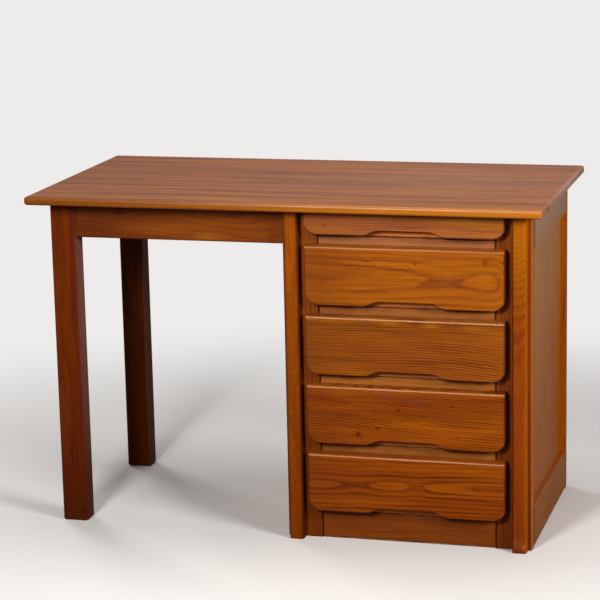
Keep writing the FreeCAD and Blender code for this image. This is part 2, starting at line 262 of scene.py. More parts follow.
# how much each pattern darkens the wood, roughens it and raises its relief
BAND_DARK, FIBRE_DARK, GLOW_DARK, PORE_DARK = 0.25, 1.2, -0.2, 0.3
FIBRE_ROUGH, LINE_ROUGH, WORN_ROUGH = 0.7, 0.2, 0.4
FIBRE_RELIEF, PORE_RELIEF = 0.4, -0.6
ROUGH_RANGE, ROUGHNESS = (0.1, 1.1), (0.3, 0.5)
KNOT_STAIN = Overlay(srgb(84, 26, 4), 0.8)
HANDLED_STAIN = Overlay(srgb(92, 36, 10), 0.5)
WORN_STAIN = Overlay(srgb(196, 132, 72), 0.5)
GRAIN_INPUTS = (
    ("Place", "NodeSocketVector"), ("Heart", "NodeSocketVector"), ("Ring", "NodeSocketFloat"),
    ("Phase", "NodeSocketFloat"), ("Wander", "NodeSocketFloat"), ("Ragged", "NodeSocketFloat"),
    ("Contrast", "NodeSocketFloat"), ("Streaks", "NodeSocketFloat"), ("Pale", "NodeSocketColor"),
    ("Line", "NodeSocketColor"), ("Flush", "NodeSocketColor"), ("Flush amount", "NodeSocketFloat"),
    ("Swirl", "NodeSocketFloat"), ("Knot", "NodeSocketFloat"), ("Edge", "NodeSocketFloat"),
    ("Worn", "NodeSocketFloat"))
GRAIN_OUTPUTS = (("Colour", "NodeSocketColor"), ("Rough", "NodeSocketFloat"), ("Height", "NodeSocketFloat"))


def grain_group():
    """Solid elm: growth rings about a heart line, wavy bands, fibres and pores along X, in metres."""
    tree = bpy.data.node_groups.new("elm_grain", "ShaderNodeTree")
    for way, sockets in (("INPUT", GRAIN_INPUTS), ("OUTPUT", GRAIN_OUTPUTS)):
        for name, kind in sockets:
            tree.interface.new_socket(name, in_out=way, socket_type=kind)
    g = Graph(tree)
    given = g.node("NodeGroupInput").outputs
    out = g.node("NodeGroupOutput").inputs
    place = given["Place"]

    def pattern(kind, start=place, output="Fac"):
        pace = (kind.along, kind.across, kind.across)
        made = g.noise(g.scaled(start, pace), kind.detail, kind.roughness, output)
        return made if kind.low is None else g.remap(made, kind.low, kind.high)

    # slow bends of the trunk, then the ragged waves of each ring
    bend = g.vector("SUBTRACT", pattern(BEND, output="Color"), (0.5, 0.5, 0.5))
    bend = g.grown(g.scaled(bend, ACROSS), given["Wander"])
    off_heart = g.vector("SUBTRACT", g.vector("ADD", place, bend), given["Heart"])
    radius = g.plus(g.vector("LENGTH", g.scaled(off_heart, ACROSS)), given["Swirl"])
    turns = g.plus(g.math("DIVIDE", radius, given["Ring"]), given["Phase"])
    ragged = g.minus(pattern(RAGGED), 0.5)
    turns = g.plus(turns, g.times(ragged, given["Ragged"]))

    # each ring starts dark and porous, then fades, and some rings are stronger than others
    line = g.ramp(g.math("FRACT", turns), *RING_SHADES)
    line = g.times(line, g.between(g.chance(g.math("FLOOR", turns)), *RING_STRENGTH))
    line = g.times(line, g.between(pattern(PATCH), *PATCH_STRENGTH))

    # fine wavy bands inside a ring, fibres and pores
    band = g.plus(g.times(turns, BANDS_IN_RING), g.times(ragged, BAND_WAVE))
    band = g.remap(g.math("ABSOLUTE", g.minus(g.math("FRACT", band), 0.5)), *BAND_EDGE)
    fibre = pattern(FIBRE)
    pore = g.times(pattern(PORE), g.plus(PORES_BETWEEN, g.times(line, 1.0 - PORES_BETWEEN)))

    # slow changes of tone
    tone = pattern(TONE)
    glow = pattern(GLOW, start=g.vector("ADD", place, GLOW_START))
    streak = pattern(STREAK)

    dark = g.weighed((line, given["Contrast"]), (band, g.times(given["Contrast"], BAND_DARK)),
                     (g.minus(fibre, 0.5), FIBRE_DARK), (streak, given["Streaks"]), (glow, GLOW_DARK),
                     (pore, PORE_DARK), clamp=True)
    colour = g.mix(g.times(tone, given["Flush amount"]), given["Pale"], given["Flush"])
    colour = g.mix(dark, colour, given["Line"])
    colour = g.overlaid(colour, given["Knot"], KNOT_STAIN)
    colour = g.overlaid(colour, given["Edge"], HANDLED_STAIN)
    colour = g.overlaid(colour, given["Worn"], WORN_STAIN)
    g.put(colour, out["Colour"])
    rough = g.weighed((fibre, FIBRE_ROUGH), (line, LINE_ROUGH), (given["Worn"], WORN_ROUGH))
    g.put(g.remap(rough, *ROUGH_RANGE, *ROUGHNESS), out["Rough"])
    g.put(g.weighed((fibre, FIBRE_RELIEF), (pore, PORE_RELIEF)), out["Height"])
    return tree


GRAIN = grain_group()
TURNS = {
    "x": Euler((0.0, 0.0, 0.0)),
    "y": Euler((0.0, 0.0, -math.pi / 2)),
    "z": Euler((0.0, math.pi / 2, 0.0)),
}
WOODS = {
    "front": dict(pale=(188, 104, 6), line=(112, 44, 10), flush=(168, 82, 14)),
    # the rail look is greyer and pinker than the front look, partly its own wood and partly a painted
    # reflection
    "rail": dict(pale=(170, 96, 40), line=(118, 56, 28), flush=(158, 84, 38)),
    "post": dict(pale=(178, 92, 3), line=(122, 48, 2), flush=(162, 76, 4)),
    "stile": dict(pale=(148, 76, 18), line=(96, 36, 8), flush=(130, 56, 14)),
    "leg": dict(pale=(128, 56, 6), line=(78, 26, 4), flush=(116, 40, 8)),
    "apron": dict(pale=(146, 72, 8), line=(92, 34, 6), flush=(124, 48, 12)),
    "side": dict(pale=(176, 104, 24), line=(122, 60, 14), flush=(158, 84, 20)),
    "top": dict(pale=(188, 110, 24), line=(114, 50, 22), flush=(164, 84, 30)),
    "inner": dict(pale=(206, 168, 120), line=(164, 122, 78), flush=(196, 152, 106)),
}


# Masks of a board: its edges, knots, marks, joints and planks

# the handled band has a ragged edge, and the worn band a share of its waves. It is worn in patches only.
EDGE_PACE, EDGE_WAVE, WORN_WAVE = (60.0, 60.0, 60.0), 0.006, 0.4
PATCH_PACE, WORN_PATCHES = (34.0, 34.0, 34.0), (0.42, 0.62)
BLOTCH_PACE = (90.0, 90.0, 90.0)
WORN_REACH = (0.0014, 0.0036)
HANDLED_REACH = (0.0035, 0.0065)
# a knot is long along the grain, pushes the rings aside around it and is dark at its core
KNOT_SHAPE = (0.6, 1.0, 1.0)
KNOT_REACH, KNOT_PUSH, KNOT_CORE = 2.2, 0.9, 0.75
JOINT_WIDTH = 0.0021
SEAM_WIDTH = 0.0009
END_REACH = (0.0045, 0.0005)
FACING_DOWN = (-0.6, -0.1)
# where a top's polish begins: below its face, and behind its front edge
FACE_REACH, LIP_REACH = (0.0085, 0.0055), (0.006, 0.02)
JOINT_STAIN = Overlay(srgb(40, 14, 6), 0.92)
SEAM_STAIN = Overlay(srgb(70, 26, 14), 0.6)
PLANK_STAIN = Overlay(srgb(128, 58, 36), 0.35)
# a front's right end: darker end grain and painted shade of the slot; painted shade on faces turned downwards
END_GRAIN_AND_SHADE = Overlay(srgb(60, 20, 4), 0.75)
UNDERSIDE_SHADE = Overlay(srgb(76, 28, 6), 0.8)
# how far the grain of a plank may lie from its neighbour's: along it, and in both ways across it
PLANK_JUMP = (7.3, 0.05, 0.03)
# added to a plank's number, so that its chances differ from one another
CROSS_CHANCE, TONE_CHANCE = 9.0, 4.0
EDGE_SHINE, BARE_SHINE, BARE_ROUGHNESS = 0.14, 0.15, 0.62
RELIEF_STRENGTH, RELIEF_HEIGHT = 0.22, 0.0004

Swell = namedtuple("Swell", "centre spread amount")
Knot = namedtuple("Knot", "point size")
Mark = namedtuple("Mark", "point spread shade strength")


def past_round_corner(g, inside, lower, corner):
    """How far a point lies inside the outline of a drawer front, whose lower corners are round.

    inside is its distance from each side of the front's box, and lower is 1 in the lower half.
    """
    radius = g.times(lower, corner)
    short_x = g.minus(radius, inside[0])
    short_z = g.minus(radius, inside[2])
    over_x = g.larger(short_x, 0.0)
    over_z = g.larger(short_z, 0.0)
    over = g.math("SQRT", g.plus(g.times(over_x, over_x), g.times(over_z, over_z)))
    under = g.smaller(g.larger(short_x, short_z), 0.0)
    return g.minus(radius, g.plus(over, under))


def edge_masks(g, place, low, high, corner):
    """Two masks, 1 along a board's edges and 0 inside: a handled band, and worn patches on the arris."""
    middle = (low + high) / 2
    half = (high - low) / 2
    off_middle = g.vector("ABSOLUTE", g.vector("SUBTRACT", place, tuple(middle)))
    inside = g.parts(g.vector("SUBTRACT", tuple(half), off_middle))
    if corner:
        lower = g.math("LESS_THAN", g.parts(place)[2], middle.z)
        from_arris = g.larger(past_round_corner(g, inside, lower, corner), inside[1])
    else:
        small = g.smaller(inside[0], inside[1])
        large = g.larger(inside[0], inside[1])
        from_arris = g.larger(small, g.smaller(large, inside[2]))
    wave = g.times(g.noise(g.scaled(place, EDGE_PACE), 3.0), EDGE_WAVE)
    handled = g.remap(g.plus(from_arris, wave), *HANDLED_REACH, 1.0, 0.0)
    worn = g.remap(g.plus(from_arris, g.times(wave, WORN_WAVE)), *WORN_REACH, 1.0, 0.0)
    patch = g.remap(g.noise(g.scaled(place, PATCH_PACE)), *WORN_PATCHES)
    return handled, g.times(worn, patch)


def heart_line(g, along, turn, start, heart, lean, swells, swell_way):
    """The point of the heart line beside each place along the grain."""
    core = g.vector("ADD", tuple(turn @ Vector(heart)), g.grown(tuple(turn @ Vector(lean)), along))
    way = turn @ Vector(swell_way)
    for centre, spread, amount in swells:
        swell = g.bell(g.minus(along, start + centre), spread)
        core = g.vector("ADD", core, g.grown(tuple(way * amount), swell))
    return core


def knot_masks(g, local, turn, knots):
    """How far the knots push the rings aside, and how dark they are."""
    swirl = 0.0
    knotted = 0.0
    for point, size in knots:
        away = g.vector("SUBTRACT", local, tuple(turn @ Vector(point)))
        away = g.vector("LENGTH", g.scaled(away, KNOT_SHAPE))
        swirl = g.plus(swirl, g.times(g.bell(away, size * KNOT_REACH), size * KNOT_PUSH))
        knotted = g.larger(knotted, g.bell(away, size * KNOT_CORE))
    return swirl, knotted


def plank_shift(g, place, seams):
    """For a top glued up from planks: the jump of the grain to each plank, the seams and a plank's tone."""
    depth = g.parts(place)[1]
    count = 0.0
    seam = 0.0
    for line in seams:
        count = g.plus(count, g.math("GREATER_THAN", depth, line))
        seam = g.larger(seam, g.bell(g.minus(depth, line), SEAM_WIDTH))
    jump = g.node("ShaderNodeCombineXYZ")
    shares = (count, g.chance(count), g.chance(g.plus(count, CROSS_CHANCE)))
    for share, reach, socket in zip(shares, PLANK_JUMP, jump.inputs):
        g.put(g.times(share, reach), socket)
    return jump.outputs[0], seam, g.chance(g.plus(count, TONE_CHANCE))


def marked(g, place, colour, marks):
    """The colour with each mark laid over it: spots of wear, dirt or real colour, and spots of painted light
    and shade.
    """
    blotch = g.minus(g.noise(g.scaled(place, BLOTCH_PACE), 3.0), 0.5)
    for point, spread, shade, strength in marks:
        away = g.scaled(g.vector("SUBTRACT", place, point), tuple(1.0 / part for part in spread))
        amount = g.bell(g.plus(g.vector("LENGTH", away), blotch), 1.0)
        colour = g.overlaid(colour, amount, Overlay(srgb(*shade), strength))
    return colour


def jointed(g, place, colour, joints):
    """The colour with a dark line at each open joint."""
    for joint in joints:
        gap = g.bell(g.minus(g.parts(place)[0], joint), JOINT_WIDTH)
        colour = g.overlaid(colour, gap, JOINT_STAIN)
    return colour


def shaded_front(g, place, colour, high):
    """A drawer front's colour: darker at its right end, which is end grain and also painted shade of the slot
    beside it, with painted shade on faces turned downwards.
    """
    end = g.remap(g.parts(place)[0], *(high.x - reach for reach in END_REACH))
    colour = g.overlaid(colour, end, END_GRAIN_AND_SHADE)
    upward = g.parts(g.coordinates("Normal"))[2]
    return g.overlaid(colour, g.remap(upward, *FACING_DOWN, 1.0, 0.0), UNDERSIDE_SHADE)


def slab_shine(g, place, low, high, shine):
    """A top's face is polished. Its front edge isn't."""
    depth, height = g.parts(place)[1:]
    on_face = g.remap(height, *(high.z - reach for reach in FACE_REACH))
    behind_edge = g.remap(depth, *(low.y + reach for reach in LIP_REACH))
    return g.remap(g.larger(on_face, behind_edge), 0.0, 1.0, EDGE_SHINE, shine)


def wood(name, box, look, axis, heart, lean=(0.0, 0.0, 0.0), ring=0.006, wander=0.02, ragged=0.35,
         contrast=0.6, streaks=0.2, flush=0.5, phase=0.0, tint=1.0, swells=(), swell_way=(0.0, 1.0, 0.0),
         knots=(), marks=(), joints=(), corner=0.0, seams=(), shine=0.14):
    """A wood material for the board in a box, with its grain along an axis.

    heart is a point of the heart line, and lean its run for each metre of grain. A swell, given as its place
    along the grain from the board's end, its spread and amount, pushes the heart line off, which closes the
    rings into ovals. A knot is a point and a size. A mark is a spot laid over the grain, of wear, dirt, real
    colour or painted light and shade: its point, spread along each axis, colour and strength. joints are the
    places along X of open joints, dark inside. corner is the radius of a drawer front's lower corners, and
    seams are the places along Y of a top's glue lines. Bare wood has no shine.
    """
    low, high = box
    material, g, shader = new_material(name)
    place = g.coordinates()
    turn = TURNS[axis].to_matrix()
    mapping = g.node("ShaderNodeMapping", vector_type="POINT")
    g.put(place, mapping.inputs["Vector"])
    mapping.inputs["Rotation"].default_value = tuple(TURNS[axis])
    local = mapping.outputs[0]

    core = heart_line(g, g.parts(local)[0], turn, (turn @ low).x, heart, lean, swells, swell_way)
    swirl, knotted = knot_masks(g, local, turn, knots)
    handled, worn = edge_masks(g, place, low, high, corner)
    tints = tint if isinstance(tint, tuple) else (tint,) * 3
    shades = {part: srgb(*(min(255.0, value * share) for value, share in zip(shade, tints)))
              for part, shade in WOODS[look].items()}
    grain = g.node("ShaderNodeGroup", node_tree=GRAIN)
    colour = grain.outputs["Colour"]
    if seams:
        jump, seam, tone = plank_shift(g, place, seams)
        local = g.vector("ADD", local, jump)
        colour = g.overlaid(colour, tone, PLANK_STAIN)
        colour = g.overlaid(colour, seam, SEAM_STAIN)
    for socket, value in (
            ("Place", local), ("Heart", core), ("Ring", ring), ("Phase", phase), ("Wander", wander),
            ("Ragged", ragged), ("Contrast", contrast), ("Streaks", streaks), ("Pale", shades["pale"]),
            ("Line", shades["line"]), ("Flush", shades["flush"]), ("Flush amount", flush), ("Swirl", swirl),
            ("Knot", knotted), ("Edge", handled), ("Worn", worn)):
        g.put(value, grain.inputs[socket])

    if marks:
        colour = marked(g, place, colour, marks)
    colour = jointed(g, place, colour, joints)
    if corner:
        colour = shaded_front(g, place, colour, high)
    g.put(colour, shader.inputs["Base Color"])
    mirror = slab_shine(g, place, low, high, shine) if seams else shine or BARE_SHINE
    g.put(mirror, shader.inputs["Specular IOR Level"])
    g.put(grain.outputs["Rough"] if shine else BARE_ROUGHNESS, shader.inputs["Roughness"])
    g.bump(grain.outputs["Height"], RELIEF_STRENGTH, RELIEF_HEIGHT, shader)
    return material


# The figure of each board, as it is in the photo. A board without one is plain wood of the sides.

# spreads so wide that the place along that axis hardly counts
ANY = 1.0
ALL_HEIGHTS = 10.0
FRONT_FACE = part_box("drawer_2_front")[0].y
OPENING = (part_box("left_front_stile")[1].x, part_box("right_front_stile")[0].x)
OPENING_MIDDLE = sum(OPENING) / 2
DRAWERS = range(1, 6)


def from_corner(node):
    """Measures points from a board's lower left front corner: to the right, up and back."""
    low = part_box(node)[0]

    def point(right=0.0, up=0.0, back=0.0):
        return (low.x + right, low.y + back, low.z + up)

    return point


def width(node):
    """The width of a node's box."""
    low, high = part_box(node)
    return high.x - low.x


def top_figures():
    """The top is glued up from five planks. Its front edge has painted shade at the left and a painted
    highlight at the right, its right end a painted reflection, and its face a painted sheen at the right and
    painted shade at the left.
    """
    at = from_corner("desk_top")
    length = width("desk_top")
    marks = (
        Mark(at(0.0075, 0.009), (0.6, 0.012, 0.03), (106, 50, 2), 0.72),
        Mark(at(0.9575, 0.009), (0.4, 0.012, 0.03), (196, 118, 12), 0.6),
        Mark(at(length, 0.009, 0.371), (0.005, 0.27, 0.03), (186, 152, 136), 0.8),
        Mark(at(0.8775, 0.018, 0.351), (0.42, 0.25, 0.003), (218, 152, 108), 0.24),
        Mark(at(0.0575, 0.018, 0.261), (0.22, 0.2, 0.003), (124, 62, 24), 0.24),
    )
    seams = tuple(at(back=back)[1] for back in (0.066, 0.211, 0.359, 0.504))
    return {"desk_top": dict(look="top", heart=at(0.0, -0.122, 0.311), ring=0.012, contrast=0.5, wander=0.03,
                             streaks=0.8, seams=seams, tint=1.0, marks=marks, shine=0.45)}


def leg_figures():
    """The legs have painted shade towards the foot, are dark along their right arris, and have a painted
    greyish sheen on their right side. The back leg is tinted darker as painted shade under the top.
    """
    at = from_corner("front_left_leg")
    side = width("front_left_leg")
    knots = (Knot(at(0.0275, 0.616), 0.003), Knot(at(0.0125, 0.600), 0.0036))
    marks = (
        Mark(at(side - 0.0005, 0.35), (0.008, 0.02, 0.5), (112, 26, 10), 0.4),
        Mark(at(side - 0.0015, 0.50), (0.020, 0.02, 0.4), (82, 22, 8), 0.55),
        Mark(at(side + 0.0015, 0.5, 0.022), (0.0022, 0.05, 0.35), (148, 112, 104), 0.66),
        Mark(at(0.0275, 0.155), (0.0016, 0.01, 0.04), (40, 14, 4), 0.8),
        Mark(at(0.0491, 0.021), (0.006, 0.02, 0.008), (44, 14, 6), 0.8),
        Mark(at(0.0285, -0.01), (ANY, ANY, 0.25), (58, 16, 2), 0.72),
    )
    at = from_corner("back_left_leg")
    back_marks = (Mark(at(side, 0.45, 0.022), (0.0025, 0.05, 0.6), (178, 116, 78), 0.42),)
    return {
        "front_left_leg": dict(look="leg", tint=(0.96, 0.91, 0.5), shine=0.1, knots=knots, marks=marks),
        "back_left_leg": dict(look="leg", tint=0.74, shine=0.06, marks=back_marks),
    }


def apron_figures():
    """The aprons have painted shade towards the left, a knot near the top and a dark joint at the leg."""
    at = from_corner("front_apron")
    leg_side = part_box("front_left_leg")[1].x - at()[0]
    marks = (
        Mark(at(0.0575, 0.048), (0.16, ANY, 0.3), (82, 30, 8), 0.66),
        Mark(at(0.2075, 0.023), (0.10, ANY, 0.012), (166, 92, 20), 0.35),
        Mark(at(0.3075, 0.010), (0.03, ANY, 0.006), (176, 104, 30), 0.4),
        Mark(at(0.11, 0.056), (0.008, ANY, 0.0026), (26, 10, 4), 0.9),
        Mark(at(leg_side, 0.038), (0.0018, ANY, ANY), (46, 12, 6), 0.8),
    )
    figure = dict(look="apron", wander=0.06, knots=(Knot(at(0.1115, 0.056), 0.0055),), marks=marks)
    return {name: figure for name in ("front_apron", "back_apron", "left_side_apron")}


def post_figures():
    """The pilasters have painted shade towards the foot and on their faces beside the drawer fronts, and the
    left one is tinted darker as painted shade. The right one has a painted light on its outer side and wear
    at its foot.
    """
    foot = Mark((OPENING_MIDDLE, FRONT_FACE, 0.0), (ANY, ANY, 0.5), (86, 20, 0), 0.6)
    shade = dict(spread=(0.0032, ANY, ALL_HEIGHTS), shade=(56, 18, 2), strength=0.75)
    at = from_corner("right_pilaster")
    right_marks = (
        foot,
        Mark(at(0.015, 0.69), (0.05, 0.05, 0.14), (218, 136, 4), 0.35),
        Mark(at(0.015, 0.28), (ANY, ANY, 0.25), (148, 64, 6), 0.7),
        Mark(at(width("right_pilaster"), 0.35), (0.002, ANY, ALL_HEIGHTS), (194, 90, 6), 0.62),
        Mark(at(0.0, 0.35), **shade),
        Mark(at(0.0245, 0.014), (0.005, 0.02, 0.005), (186, 124, 80), 0.4),
        Mark(at(0.012, 0.022), (0.012, 0.02, 0.012), (158, 86, 44), 0.3),
    )
    right = dict(look="post", heart=at(0.004, 0.0, 0.1397), ring=0.0036, contrast=1.9, wander=0.008,
                 ragged=0.45, phase=0.0, swells=(Swell(0.88, 0.24, -0.11),), tint=(0.98, 0.95, 0.8),
                 shine=0.1, marks=right_marks)
    at = from_corner("left_pilaster")
    left_marks = (foot, Mark(at(width("left_pilaster"), 0.35), **shade))
    left = dict(look="post", tint=0.96, shine=0.1, marks=left_marks)
    return {"right_pilaster": right, "left_pilaster": left}


def stile_figures():
    """The front stiles are in the shade, with painted shade towards the foot, a painted light on the right
    one's outer side face, and open joints to the rails. The back stiles are plain posts.
    """
    marks = (
        Mark((OPENING_MIDDLE, FRONT_FACE, 0.0), (ANY, ANY, 0.45), (84, 28, 4), 0.6),
        Mark((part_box("right_front_stile")[1].x, 0.0, 0.35), (0.003, ANY, ALL_HEIGHTS), (176, 106, 44), 0.7),
    )
    front = dict(look="stile", joints=OPENING, shine=0.1, marks=marks)
    back = dict(look="post", tint=1.04)
    return {
        "right_front_stile": dict(front, tint=1.08),
        "left_front_stile": dict(front, tint=1.02),
        "right_back_stile": back,
        "left_back_stile": back,
    }


def rail_figures():
    """The rails between the stiles, and the plinth board, whose figure runs down towards its right end."""
    # rail 1's tint adds a painted greyish reflection; the darker tints of rail 4 and the plinth are painted
    # shade towards the floor
    tints = {
        "front_top_rail": 1.0,
        "drawer_rail_1": (1.0, 1.1, 1.5),
        "drawer_rail_2": (0.98, 1.05, 1.1),
        "drawer_rail_3": (1.07, 1.16, 1.0),
        "drawer_rail_4": (0.92, 0.96, 0.8),
        "plinth_board": (0.8, 0.7, 0.36),
    }
    figures = {name: dict(look="rail", tint=tint, joints=OPENING) for name, tint in tints.items()}
    at = from_corner("plinth_board")
    figures["plinth_board"].update(
        heart=at(0.0, -0.092, 0.03), lean=(0.0, 0.0, 0.02), ring=0.006, contrast=0.8, wander=0.012,
        ragged=0.5, swells=(Swell(0.136, 0.07, -0.006), Swell(0.426, 0.085, -0.06)),
        swell_way=(0.0, 0.0, 1.0),
        marks=(Mark(at(0.106, 0.050), (0.06, ANY, 0.012), (96, 32, 10), 0.3),
               Mark(at(0.296, 0.048), (0.05, ANY, 0.02), (98, 32, 8), 0.35)))
    return figures


def side_figures():
    """The right side has a painted greyish reflection under the top, a paler painted reflection above the
    middle and painted shade below, by its height, and a painted shadow along the step behind the front stile.
    """
    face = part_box("right_front_stile")[1].x
    stile_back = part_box("right_front_stile")[1].y
    marks = (
        Mark((face, 0.0, 0.69), (ANY, ANY, 0.05), (158, 134, 124), 0.8),
        Mark((face, 0.0, 0.58), (ANY, ANY, 0.16), (178, 130, 88), 0.55),
        Mark((face, 0.0, 0.15), (ANY, ANY, 0.2), (148, 66, 0), 0.3),
        Mark((face, stile_back + 0.003, 0.35), (ANY, 0.011, ALL_HEIGHTS), (64, 28, 18), 0.8),
    )
    names = ("right_side_top_rail", "right_side_bottom_rail", "right_side_panel")
    return {name: dict(shine=0.34, marks=marks) for name in names}


def front_boards():
    """The five drawer fronts. Each has the figure of its own board in the photo. The darker tints of the
    lower fronts are partly their own wood and partly painted shade, and drawer 1's tint adds a painted mauve
    reflection.
    """
    at = {number: from_corner("drawer_%d_front" % number) for number in DRAWERS}
    return {
        1: dict(heart=at[1](0.0, 0.1315, 0.03), ring=0.0045, contrast=1.0, flush=0.8, wander=0.012,
                tint=(1.0, 1.12, 3.5), knots=(Knot(at[1](0.046, 0.0215), 0.003),)),
        2: dict(heart=at[2](0.0, 0.061, 0.0443), ring=0.009, contrast=0.62, flush=0.45, wander=0.008,
                ragged=0.42, phase=0.21, tint=(0.94, 0.92, 1.0), lean=(0.0, 0.0067, 0.0),
                swells=(Swell(0.31, 0.085, 0.0056), Swell(0.382, 0.05, -0.0015), Swell(0.455, 0.03, 0.03)),
                marks=(Mark(at[2](0.31, 0.059), (0.016, 0.02, 0.006), (140, 66, 40), 0.5),
                       Mark(at[2](0.052, 0.059), (0.08, 0.02, 0.09), (112, 40, 10), 0.16)),
                knots=(Knot(at[2](0.135, 0.0985), 0.0028), Knot(at[2](0.238, 0.094), 0.0022),
                       Knot(at[2](0.385, 0.101), 0.0045))),
        3: dict(heart=at[3](0.0, -0.0975, 0.02), ring=0.0055, contrast=1.25, flush=0.9, wander=0.03,
                ragged=0.9, streaks=0.4, tint=(0.91, 0.93, 1.0), lean=(0.0, 0.0, -0.02),
                swells=(Swell(0.252, 0.15, 0.009),), swell_way=(0.0, 0.0, 1.0),
                marks=(Mark(at[3](0.182, 0.1175), (0.022, 0.02, 0.005), (182, 106, 8), 0.5),
                       Mark(at[3](0.27, 0.1155), (0.016, 0.02, 0.005), (184, 108, 6), 0.5),
                       Mark(at[3](0.362, 0.1135), (0.024, 0.02, 0.005), (180, 104, 8), 0.5),
                       Mark(at[3](0.128, 0.1195), (0.012, 0.02, 0.004), (126, 62, 46), 0.5))),
        4: dict(heart=at[4](0.0, -0.117, 0.05), ring=0.0052, contrast=1.1, flush=0.7, wander=0.02,
                ragged=0.5, streaks=0.35, tint=(0.9, 0.83, 0.2), lean=(0.0, 0.0, -0.02),
                swells=(Swell(0.002, 0.18, 0.03),), swell_way=(0.0, 0.0, 1.0),
                marks=(Mark(at[4](0.179, 0.114), (0.02, 0.02, 0.008), (128, 60, 44), 0.5),
                       Mark(at[4](0.234, 0.101), (0.024, 0.02, 0.008), (128, 60, 44), 0.45),
                       Mark(at[4](0.111, 0.025), (0.0032, 0.02, 0.0048), (84, 20, 2), 0.75),
                       Mark(at[4](0.111, 0.038), (0.0016, 0.02, 0.009), (96, 28, 4), 0.5),
                       Mark(at[4](0.198, 0.081), (0.0034, 0.02, 0.003), (88, 22, 2), 0.6),
                       Mark(at[4](0.153, 0.0396), (0.003, 0.02, 0.003), (88, 22, 2), 0.5)),
                knots=(Knot(at[4](0.198, 0.081), 0.0042), Knot(at[4](0.153, 0.0396), 0.003),
                       Knot(at[4](0.111, 0.024), 0.006), Knot(at[4](0.313, 0.096), 0.0028),
                       Knot(at[4](0.325, 0.029), 0.0028), Knot(at[4](0.0326, 0.1006), 0.0026))),
        5: dict(heart=at[5](0.0, 0.0595, 0.0118), ring=0.0095, contrast=0.85, flush=0.6, wander=0.004,
                ragged=0.25, tint=(0.84, 0.73, 0.2), phase=0.437, lean=(0.0, 0.0, 0.024),
                swells=(Swell(0.104, 0.045, 0.005), Swell(0.238, 0.028, 0.0045),
                        Swell(0.394, 0.07, -0.0068))),
    }


# the radius of a front's lower corners, and the strength of the painted highlight along the upper rim of each
# front
FRONT_CORNER = 0.028
RIM_HIGHLIGHT = {1: 0.1, 2: 0.3, 3: 0.65, 4: 0.55, 5: 0.5}


def drawer_figures():
    """A front has painted shade at its left end and a painted highlight along its upper rim. A box front is
    tinted pale as painted light, with painted shade along its lower edge.
    """
    figures = {}
    for number, figure in front_boards().items():
        name = "drawer_%d_front" % number
        low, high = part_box(name)
        own = figure.pop("marks", ())
        rim = Vector(((low.x + high.x) / 2, low.y + 0.001, high.z - 0.0042))
        marks = (*own, Mark((low.x, low.y, high.z), (0.09, ANY, ANY), (96, 40, 10), 0.3),
                 Mark(rim, (ANY, 0.004, 0.0014), (218, 160, 112), RIM_HIGHLIGHT[number]))
        figures[name] = dict(figure, look="front", corner=FRONT_CORNER, marks=marks)
        name = "drawer_%d_box_front" % number
        edge = Mark(from_corner(name)(width(name) / 2), (ANY, ANY, 0.0014), (46, 16, 4), 0.85)
        figures[name] = dict(look="rail", tint=(1.36, 1.38, 1.6), marks=(edge,))
    return figures


def bare_figures():
    """Bare wood inside the drawers and behind them."""
    names = ["drawer_runners", "top_buttons", "back_panel"]
    for part in ("left_side", "right_side", "box_back", "bottom"):
        names += ["drawer_%d_%s" % (number, part) for number in DRAWERS]
    return {name: dict(look="inner", shine=0.0) for name in names}


FIGURES = {**top_figures(), **leg_figures(), **apron_figures(), **post_figures(), **stile_figures(),
           **rail_figures(), **side_figures(), **drawer_figures(), **bare_figures()}
LENGTHWISE = ("desk_top", "front_apron", "back_apron", "front_top_rail", "plinth_board", "back_top_rail",
              "back_bottom_rail", "drawer_rail_1", "drawer_rail_2", "drawer_rail_3", "drawer_rail_4")
CROSSWISE = ("left_side_apron", "right_side_top_rail", "left_side_top_rail", "right_side_bottom_rail",
             "left_side_bottom_rail", "drawer_runners", "top_buttons")


# how far a board's heart line lies from its middle at most, to the sides and up or down, and behind it
HEART_OFF, HEART_BEHIND = 0.05, (0.04, 0.09)
BOARD_TINTS = (0.96, 1.04)


def grain_axis(name):
    """The axis along which a node's grain runs."""
    if name in LENGTHWISE:
        return "x"
    if name in CROSSWISE:
        return "y"
    if name.startswith("drawer_"):
        return "y" if name.endswith("side") else "x"
    return "z"


def dress_all():
    """Each node gets the wood of its own board, with a heart line, phase and tint of its own."""
    for name in sorted(NODES):
        chance = random.Random(name)
        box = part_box(name)
        middle = (box[0] + box[1]) / 2
        settings = dict(
            look="side", axis=grain_axis(name),
            heart=(middle.x + chance.uniform(-HEART_OFF, HEART_OFF),
                   middle.y + chance.uniform(*HEART_BEHIND),
                   middle.z + chance.uniform(-HEART_OFF, HEART_OFF)),
            phase=chance.random(), tint=chance.uniform(*BOARD_TINTS))
        settings.update(FIGURES.get(name, {}))
        mesh = NODES[name].data
        mesh.materials.clear()
        mesh.materials.append(wood(name + "_wood", box, **settings))


# Screws

